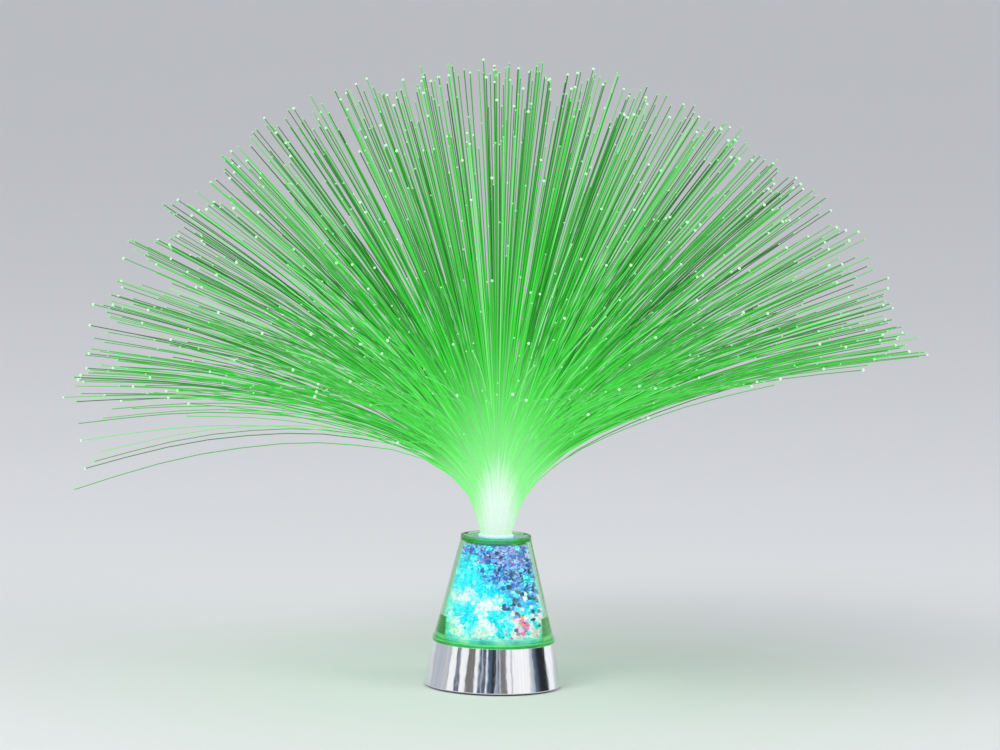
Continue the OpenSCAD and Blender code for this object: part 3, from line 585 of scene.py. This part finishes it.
def strand_paths(curve, curves, draw):
    """Paths of a CAD fibre's own strand and of its companions, each with its stretch in the bundle."""
    near = sorted(curves, key=lambda other: (other[0] - curve[0]).length)[1:1 + NEIGHBOURS]
    for number in range(1 + COMPANIONS):
        points, turn, length = curve, Matrix.Identity(3), 1.0
        if number:
            other, share = draw.choice(near), draw.uniform(*LEAN)
            points = [a.lerp(b, share) for a, b in zip(curve, other)]
            axis = Vector((draw.gauss(0, 1), draw.gauss(0, 1), draw.gauss(0, 1)))
            turn = Matrix.Rotation(draw.gauss(0, SWING), 3, axis)
            length = 1 - LENGTH_SPREAD * draw.random() ** 2
            if draw.random() < SHORT_SHARE:
                length *= draw.uniform(*SHORT_LENGTH)
        foot = points[0].xy * min(1, (BUNDLE_R - STRAND_R) / points[0].xy.length)
        mouth = Vector((*foot, points[0].z))
        offsets = [turn @ (point - points[0]) for point in points]
        while not in_box(mouth + length * offsets[-1]):
            length *= TRIM
        yield [Vector((*foot, SPRAY_LOW.z))] + [mouth + length * offset for offset in offsets]


def strand_frames(path):
    """Two directions across the strand at each of its points."""
    frames = []
    for index, point in enumerate(path):
        along = (path[min(index + 1, len(path) - 1)] - path[max(index - 1, 0)]).normalized()
        side = along.cross(Vector((0, 0, 1)))
        side = side.normalized() if side.length > UPRIGHT else Vector((1, 0, 0))
        frames.append((side, side.cross(along), along))
    return frames


def bead(centre, frame, radius):
    """Points of the rounded end of a strand, a little wider than the strand, like a melted end."""
    side, up, along = frame
    points = [centre - BEAD_END * radius * along]
    for height, width in BEAD_RINGS:
        for k in range(BEAD_SIDES):
            a = 2 * math.pi * k / BEAD_SIDES
            out = math.cos(a) * side + math.sin(a) * up
            points.append(centre + radius * (height * along + width * out))
    return points + [centre + BEAD_END * radius * along]


def bead_faces(first):
    """Faces of a bead whose points begin at first."""
    count, rings = BEAD_SIDES, len(BEAD_RINGS)
    last = first + 1 + count * rings
    faces = []
    for k in range(count):
        m = (k + 1) % count
        faces += [(first, first + 1 + m, first + 1 + k), (last, last - count + k, last - count + m)]
        for ring in range(rings - 1):
            low = first + 1 + ring * count
            faces.append((low + k, low + m, low + count + m, low + count + k))
    return faces


FIBRE_TONES = ((0.0, (0.45, 0.80, 0.60)), (0.05, (0.32, 0.86, 0.34)), (0.12, (0.24, 0.85, 0.24)),
               (0.22, (0.11, 0.78, 0.11)), (0.4, (0.035, 0.60, 0.035)), (0.7, (0.03, 0.46, 0.03)),
               (1.0, (0.08, 0.48, 0.08)))       # along a strand, from the mouth to its end
ALL_ALIKE, ALL_APART = 0.05, 0.3                # places along it, between which strands begin to differ
PALE_LOTS, PALE_SHARE, PALE_TONE = (0.7, 0.95), 0.7, (0.24, 0.76, 0.26)
SHADES = (-0.75, 0.4)                           # range of what is added to a strand's level
FRONT_Y, FRONT_SHARE, FRONT_TONE = (-20 * MM, -80 * MM), 0.85, (0.10, 0.74, 0.10)
LOW_Z = (MOUTH_Z + 60 * MM, MOUTH_Z + 120 * MM)
# The white heart and the pale light round it are painted glare over the mouth, laid on the strands' glow.
CORE, CORE_TONE = (8 * MM, 36 * MM, 27 * MM), (0.76, 0.92, 0.83)    # half sizes of the spray's white heart
HALO, HALO_TONE = (11 * MM, 38 * MM, 28 * MM), (0.33, 0.90, 0.35)   # and of the pale light round it
CORE_LIFT = 13 * MM                             # of their middle above the mouth
CORE_FADE, CORE_RAGGED = (0.85, 1.75), 0.4      # where it fades, in half sizes, and how unevenly
HALO_FADE, HALO_RAGGED, HALO_SHARE = (1.2, 3.9), 1.2, 0.95


def out_of(made, sizes):
    """Distance from the middle of the light over the mouth, in shares of its half sizes."""
    middle = (0, 0, MOUTH_Z + CORE_LIFT)
    swollen = made.node("ShaderNodeMapping", {"Vector": made.place(), "Scale": sizes, "Location": middle},
                        vector_type="TEXTURE").outputs["Vector"]
    return made.node("ShaderNodeVectorMath", {0: swollen}, operation="LENGTH").outputs["Value"]


def fibre_glow(count):
    """Colour of count fibres: a white heart over the mouth, green round it, paler at their ends."""
    made = Shader("fibre_glow", roughness=0.35, ior=1.49, emission_strength=0.81)
    made.set("Specular IOR Level", 0.25)
    column, along, _ = made.split(made.node("ShaderNodeUVMap", uv_map=MAP).outputs["UV"])
    strand = made.math("FLOOR", made.multiply(column, count))
    lots = made.node("ShaderNodeTexWhiteNoise", {"W": strand}, noise_dimensions="1D").outputs
    lot = lots["Value"]
    other_lot = made.node("ShaderNodeSeparateColor", {"Color": lots["Color"]}).outputs["Blue"]
    # strands differ, but not where they are all white at the mouth: some are pale and some dull
    differ = made.range(along, ALL_ALIKE, ALL_APART, 0, 1)
    pale = made.multiply(made.range(other_lot, *PALE_LOTS, 0, PALE_SHARE), differ)
    shade = made.add(1.0, made.multiply(made.range(lot, 0, 1, *SHADES), differ))
    colour = made.tint(made.blend(pale, made.ramp(along, *FIBRE_TONES), PALE_TONE), made.grey(shade))
    # low strands that come towards the camera lie across the others, so none of them is dull
    place = made.split(made.place())
    ahead = made.range(place["Y"], *FRONT_Y, 0, FRONT_SHARE)
    low = made.range(place["Z"], *LOW_Z, 1, 0)
    colour = made.blend(made.multiply(ahead, low), colour, FRONT_TONE)
    far = made.add(out_of(made, HALO), made.multiply(lot, HALO_RAGGED))
    halo = made.range(far, *HALO_FADE, HALO_SHARE, 0)
    # painted glare: a white heart over the mouth, with paler light round it
    far = made.add(out_of(made, CORE), made.multiply(other_lot, CORE_RAGGED))
    heart = made.range(far, *CORE_FADE, 1, 0)
    colour = made.blend(heart, made.blend(halo, colour, HALO_TONE), CORE_TONE)
    made.drive("Emission Color", colour)
    made.drive("Base Color", made.tint(colour, (0.25, 0.3, 0.25)))
    made.material.cycles.emission_sampling = "NONE"
    return made.material


def tip_glow():
    """Colour of the beads, which their mesh holds."""
    made = Shader("tip_glow", roughness=0.2, emission_strength=0.95)
    level = made.node("ShaderNodeVertexColor", layer_name=FACET).outputs["Color"]
    made.drive("Base Color", made.tint(level, (0.6, 0.7, 0.6)))
    made.drive("Emission Color", made.tint(level, made.mottle(900, 0.8, 1.0)))
    made.material.cycles.emission_sampling = "NONE"
    return made.material


def strand_mesh(paths):
    """The strands as one mesh, its map running along each in a column of its own."""
    points, faces, maps = [], [], []
    for number, path in enumerate(paths):
        first = len(points)
        for point, (side, up, _) in zip(path, strand_frames(path)):
            for k in range(STRAND_SIDES):
                a = 2 * math.pi * (k + 0.5) / STRAND_SIDES
                points.append(point + STRAND_R * (math.cos(a) * side + math.sin(a) * up))
        left, right = (number + 0.1) / len(paths), (number + 0.9) / len(paths)
        for leg in range(len(path) - 1):
            low, high = first + leg * STRAND_SIDES, first + (leg + 1) * STRAND_SIDES
            start, end = ((max(0, end - 1) / STRAND_LEGS) ** LEG_GROWTH for end in (leg, leg + 1))
            for k in range(STRAND_SIDES):
                m = (k + 1) % STRAND_SIDES
                faces.append((low + k, low + m, high + m, high + k))
                maps += (left, start, right, start, right, end, left, end)
    spray = mesh_object("fibre_spray", points, faces, smooth=True)
    spray.data.uv_layers.new(name=MAP).data.foreach_set("uv", maps)
    return spray


def tip_mesh(paths, draw):
    """The beads on the strands' ends as one mesh."""
    points, faces, tones = [], [], []
    for path in paths:
        tone, radii = (BRIGHT_TIP, BRIGHT_R) if draw.random() < BRIGHT_SHARE else (DIM_TIP, DIM_R)
        faces += bead_faces(len(points))
        made = bead(path[-1], strand_frames(path)[-1], draw.uniform(*radii) * MM)
        points += made
        tones += tone * len(made)
    ends = mesh_object("fibre_tips", points, faces, smooth=True)
    ends.data.color_attributes.new(FACET, "FLOAT_COLOR", "POINT").data.foreach_set("color", tones)
    return ends


def make_spray():
    draw = random.Random(SPRAY_SEED)
    curves = [smooth(fibre) for fibre in cad_fibres()]
    paths = [path for curve in curves for path in strand_paths(curve, curves, draw)]
    spray, ends = strand_mesh(paths), tip_mesh(paths, draw)
    spray.data.materials.append(fibre_glow(len(paths)))
    ends.data.materials.append(tip_glow())
    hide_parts("fiber_spray")
    for piece in (spray, ends):
        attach(piece, "lamp")


# ------------------------------------------------------------------ crystal chips

CHIP_SIZE = 1.8 * MM          # from the middle of a chip to its corners
CHIP_SIZES = (0.8, 1.15)      # range of its factors
CHIP_CORNERS = (7, 10)        # least and most
CORNER_REACH = (0.75, 1.0)    # of a corner, as a share of the size
CORNER_TURN = 0.5             # by which it strays round the chip, in radians
CHIP_STEP = 2.75 * MM         # between chips of a ring
CHIP_RINGS = 4                # counted from the wall
RING_STEP = 0.8 * CHIP_STEP
WALL_STEP = 0.6 * CHIP_STEP   # from the wall to the first ring
LEVEL_STEP = 0.8 * CHIP_STEP  # of the levels that the rings lie on
END_STEP = 0.45 * CHIP_STEP   # from the ends of the CAD chips to the end levels
END_ROOM = 0.4 * CHIP_STEP    # that a chip's middle keeps from those ends
WALL_ROOM = 1.04              # that it keeps from the wall, as a share of its size
SLEEVE_ROOM = 0.5 * CHIP_STEP
STRAY_ALONG, STRAY_UP, STRAY_OUT = 0.25, 0.22, 0.1      # of a chip from its place in the ring, in steps
CHIP_SEED = 5
GOLDEN = math.pi * (3 - math.sqrt(5))
CYAN, BLUE, WHITE = Vector((0.0, 0.68, 0.98)), Vector((0.02, 0.09, 0.64)), Vector((0.88, 0.78, 0.94))
VIOLET, PINK, LEAF = Vector((0.18, 0.10, 0.66)), Vector((0.95, 0.14, 0.48)), Vector((0.12, 0.80, 0.34))
NAVY, AZURE, CORAL = Vector((0.01, 0.05, 0.22)), Vector((0.05, 0.32, 0.95)), Vector((0.90, 0.26, 0.20))
BLUSH, AQUA, LILAC = Vector((1.0, 0.55, 0.80)), Vector((0.30, 0.80, 0.98)), Vector((0.30, 0.26, 0.80))

# Places among the chips are shares: high of their height, side of the cavity's radius towards +X.
# Scales and shifts are those of the noise that strews a colour.
BLUE_FROM = ((-1.0, 0.97), (-0.6, 0.90), (-0.2, 0.66), (0.1, 0.54), (0.4, 0.50), (1.0, 0.42))   # (side, high)
BLUE_SCALE, BLUE_RAGGED, BLUE_SOFT = 85, 0.1, 0.02
BLUES = (NAVY, BLUE, BLUE, BLUE, AZURE, AZURE)
VIOLET_FROM, LILAC_FROM, LILAC_SIDE, LILAC_SHARE = 0.7, 0.8, -0.35, 0.55
PATCH_SCALE, PATCH_FROM = 130, 0.27                     # of the cyan patches in the blue part
LUMP_SCALE, LUMP_SHIFT, LUMP_STRAY = 95, Vector((1, 5, 2)), 0.08        # of the white lumps
LUMP_TOP, LUMP_RISE = 0.38, 0.6                         # height that they reach, and how far noise lifts it
LUMP_FROM, LUMP_THIN, THIN_FROM = 0.05, 0.35, 0.15      # noise that makes one, and its rise above a height
LUMP_SOFT = 0.04
MIXED_SIDE, MIXED_STRAY, PINK_BELOW = 0.25, 0.15, 0.26
MIXED = (NAVY, NAVY, WHITE, CYAN, CYAN, AQUA, AZURE)
PINK_SCALE, PINK_SHIFT, PINK_FROM = 120, Vector((4, 4, 4)), 0.22
PINKS = (PINK, PINK, BLUSH, BLUSH, WHITE, CORAL)
PALES = (WHITE, WHITE, WHITE, AQUA, BLUSH, CYAN, NAVY)
AQUA_SHARE = 0.12
# LEAF is painted light: the green that the glowing wall throws on the chips near it
LEAF_SHARE, LEAF_SIDE, LEAF_SOFT = 0.5, -0.78, 0.06     # of the green near the wall at -X


def cavity_radius(z):
    """Inner radius of the cone at a height."""
    outside = CONE_FOOT_R + (CONE_TOP_R - CONE_FOOT_R) * (z - CONE_FOOT_Z) / (CONE_TOP_Z - CONE_FOOT_Z)
    return min(CAVITY_R, outside - CONE_WALL)


def slope(value, middle, width):
    """0 below, 1 above and a soft step between."""
    return 1 / (1 + math.exp(-(value - middle) / width))


def between(stops, value):
    """Value read from a line through stops of (place, value)."""
    for (left, low), (right, high) in zip(stops, stops[1:]):
        if value <= right:
            break
    return low + (high - low) * min(1, max(0, (value - left) / (right - left)))


def chip_colour(place, draw):
    """Light of a chip at a place: cyan over most, blue above and to +X, white lumps and pink low down.

    Also says how far the place lies in the blue part, where the facets of a chip differ most.
    """
    high = (place.z - CHIPS_LOW.z) / (CHIPS_HIGH.z - CHIPS_LOW.z)
    side = place.x / CAVITY_R
    edge = between(BLUE_FROM, side) + BLUE_RAGGED * noise.noise(place * BLUE_SCALE)
    blue = slope(high, edge, BLUE_SOFT)
    deep = draw.choice((*BLUES, VIOLET if high > VIOLET_FROM else BLUE))
    if high > LILAC_FROM and side > LILAC_SIDE and draw.random() < LILAC_SHARE:
        deep = LILAC
    elif noise.noise(place * PATCH_SCALE) > PATCH_FROM:
        deep = CYAN
    colour = CYAN.lerp(deep, blue)
    lump = noise.noise(place * LUMP_SCALE + LUMP_SHIFT) + stray(draw, LUMP_STRAY)
    under = slope(LUMP_TOP + LUMP_RISE * lump - high, 0.0, LUMP_SOFT)
    white = under * slope(lump, LUMP_FROM + LUMP_THIN * max(0, high - THIN_FROM), LUMP_SOFT)
    colour = colour.lerp(WHITE, white * (1 - blue))
    if side > MIXED_SIDE + stray(draw, MIXED_STRAY) and blue < 0.5:
        pink = noise.noise(place * PINK_SCALE + PINK_SHIFT) > PINK_FROM
        colour = draw.choice(MIXED if high > PINK_BELOW else PINKS if pink else PALES)
    elif blue < 0.5 and draw.random() < AQUA_SHARE:
        colour = AQUA
    return colour.lerp(LEAF, LEAF_SHARE * slope(-side, -LEAF_SIDE, LEAF_SOFT)), blue


PLAIN_LEVELS = (0.88, 1.08)                          # range of the facets' levels where they hardly differ
BROKEN_LEVELS = (0.35, 0.6, 0.9, 1.0, 1.5, 2.0)      # and the levels where they differ most
SPARK_LEVEL, SPARK_TONE = 1.4, Vector((0.50, 0.82, 1.0))
BROKEN_SHARE, SPARK_SHARE = (0.28, 0.62), (0.08, 0.30)      # least share, and what full contrast adds


def facet_colour(colour, contrast, draw):
    """A facet is bright where light leaves it and darker where it turns back inside."""
    plain, broken = draw.uniform(*PLAIN_LEVELS), draw.choice(BROKEN_LEVELS)
    tint = colour * (plain + (broken - plain) * (BROKEN_SHARE[0] + BROKEN_SHARE[1] * contrast))
    if broken > SPARK_LEVEL:
        tint = tint.lerp(SPARK_TONE, SPARK_SHARE[0] + SPARK_SHARE[1] * contrast)
    return (*(max(0.0, min(1.0, c)) for c in tint), 1)


def broken_lump(centre, size, draw):
    """Points and faces of a chip: the hull of a few corners strewn over a ball."""
    turn = draw.uniform(0, 2 * math.pi)
    count = draw.randint(*CHIP_CORNERS)
    built = bmesh.new()
    for number in range(count):
        z = 1 - 2 * (number + 0.5) / count
        around = turn + number * GOLDEN + stray(draw, CORNER_TURN)
        level = math.sqrt(1 - z * z)
        reach = size * draw.uniform(*CORNER_REACH)
        built.verts.new(centre + reach * Vector((level * math.cos(around), level * math.sin(around), z)))
    bmesh.ops.convex_hull(built, input=built.verts)
    bmesh.ops.delete(built, geom=[corner for corner in built.verts if not corner.link_faces], context="VERTS")
    built.verts.index_update()
    points = [corner.co.copy() for corner in built.verts]
    faces = [[corner.index for corner in face.verts] for face in built.faces]
    built.free()
    return points, faces


def chip_places(draw):
    """Middle and size of each chip, in rings along the wall of the cavity."""
    lowest, highest = CHIPS_LOW.z + END_STEP, CHIPS_HIGH.z - END_STEP
    levels = round((highest - lowest) / LEVEL_STEP)
    for level in range(levels + 1):
        z = lowest + (highest - lowest) * level / levels
        for ring in range(CHIP_RINGS):
            r = cavity_radius(z) - WALL_STEP - ring * RING_STEP
            if r < SLEEVE_R + SLEEVE_ROOM:
                continue
            count = int(2 * math.pi * r / CHIP_STEP)
            for k in range(count):
                a = 2 * math.pi * (k + 0.5 * level + stray(draw, STRAY_ALONG)) / count
                up = z + stray(draw, STRAY_UP) * CHIP_STEP
                up = min(max(up, CHIPS_LOW.z + END_ROOM), CHIPS_HIGH.z - END_ROOM)
                size = CHIP_SIZE * draw.uniform(*CHIP_SIZES)
                reach = min(r + stray(draw, STRAY_OUT) * CHIP_STEP, cavity_radius(up) - WALL_ROOM * size)
                size = min(size, up - CHIPS_LOW.z, CHIPS_HIGH.z - up)
                yield Vector((reach * math.cos(a), reach * math.sin(a), up)), size


def make_chips():
    draw = random.Random(CHIP_SEED)
    points, faces, tints = [], [], []
    for centre, size in chip_places(draw):
        corners, hull = broken_lump(centre, size, draw)
        colour, contrast = chip_colour(centre, draw)
        for face in hull:
            faces.append([len(points) + corner for corner in face])
            tints += facet_colour(colour, contrast, draw) * len(face)
        points += corners
    chips = mesh_object("crystal_chips", points, faces)
    layer = chips.data.color_attributes.new(FACET, "FLOAT_COLOR", "CORNER")
    layer.data.foreach_set("color", tints)
    chips.data.materials.append(chip_glass())
    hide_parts("crystals_lower", "crystals_middle", "crystals_upper")
    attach(chips, "lamp")


def chip_glass():
    """Chips that glow in the colour of each facet, which their mesh holds."""
    made = Shader("chip_glass", ior=1.5, emission_strength=1.08)
    facet = made.node("ShaderNodeVertexColor", layer_name=FACET).outputs["Color"]
    made.drive("Emission Color", made.tint(facet, made.mottle(700, 0.82, 1.0)))
    made.drive("Base Color", made.tint(facet, (0.35, 0.35, 0.35)))
    made.uneven(made.noise(500), 0.06, 0.25)
    made.material.cycles.emission_sampling = "NONE"
    return made.material


# ------------------------------------------------------------------ finish of the CAD nodes

def finish_nodes():
    metal, black = contact_metal(), black_plastic()
    finish = {
        "base_housing": chrome(), "bottom_cover": black, "battery_door": black,
        "rubber_feet": rubber(), "board_screws": screw_steel(),
        "cover_screws": screw_steel("cover_screw_steel", "cover_screws", COVER_HEAD_R),
        "door_screw": screw_steel("door_screw_steel", "door_screw", DOOR_HEAD_R),
        "battery_1": cell_jacket(1), "battery_2": cell_jacket(-1), "battery_3": cell_jacket(1),
        "contact_positive": metal, "contact_negative": metal,
        "contact_link_left": metal, "contact_link_right": metal,
        "switch_body": metal, "switch_slider": black_plastic("knob_plastic"),
        "circuit_board": board_laminate(),
        "fiber_led_red": lamp_epoxy("led_red", (0.9, 0.25, 0.2), 0.0),
        "fiber_led_green": lamp_epoxy("led_green", (0.25, 1.0, 0.35), 1.0),
        "fiber_led_blue": lamp_epoxy("led_blue", (0.2, 0.4, 0.95), 0.6),
        "crystal_led_1": lamp_epoxy("led_cyan", (0.3, 0.85, 0.95), 1.0),
        "crystal_led_2": lamp_epoxy("led_white", (0.92, 0.95, 0.98), 1.0),
        "crystal_led_3": lamp_epoxy("led_deep_blue", (0.2, 0.4, 0.95), 1.0),
        "controller_chip": lacquer("chip_resin", (0.012, 0.012, 0.014), (0.03, 0.03, 0.034)),
        "resistors": lacquer("resistor_lacquer", (0.5, 0.36, 0.2), (0.7, 0.52, 0.32)),
        "capacitor": lacquer("capacitor_sleeve", (0.01, 0.015, 0.05), (0.02, 0.03, 0.09)),
        "wire_positive": lacquer("wire_red", (0.5, 0.02, 0.015), (0.68, 0.04, 0.03)),
        "wire_switched": lacquer("wire_white", (0.7, 0.7, 0.68), (0.85, 0.85, 0.82)),
        "wire_negative": lacquer("wire_black", (0.012, 0.012, 0.012), (0.03, 0.03, 0.03)),
        "deck_plate": lit_plate(),
        "light_cone": clear_plastic("cone_acrylic", (0.97, 1.0, 0.98), glow=14.0, depth=150.0,
                                    bands=[(CONE_FOOT_Z - MM, CONE_FOOT_Z + 1.2 * MM, 0.28)]),
        "top_cap": clear_plastic("cap_acrylic", (0.92, 0.99, 0.94), glow=7.5, depth=220.0,
                                 bands=[(CAP_HIGH.z - 0.8 * MM, CAP_HIGH.z - 0.1 * MM, 0.5)]),
        "bundle_sleeve": milky_plastic(),
    }
    finish.update({f"contact_spring_{number}": metal for number in (1, 2, 3)})
    for name, material in finish.items():
        mesh = NODES[name].data
        mesh.materials.clear()
        mesh.materials.append(material)


# ------------------------------------------------------------------ all together

bpy.context.scene.view_settings.view_transform = "Standard"
make_camera()
make_stage()
make_lights()
finish_nodes()
make_spray()
make_chips()
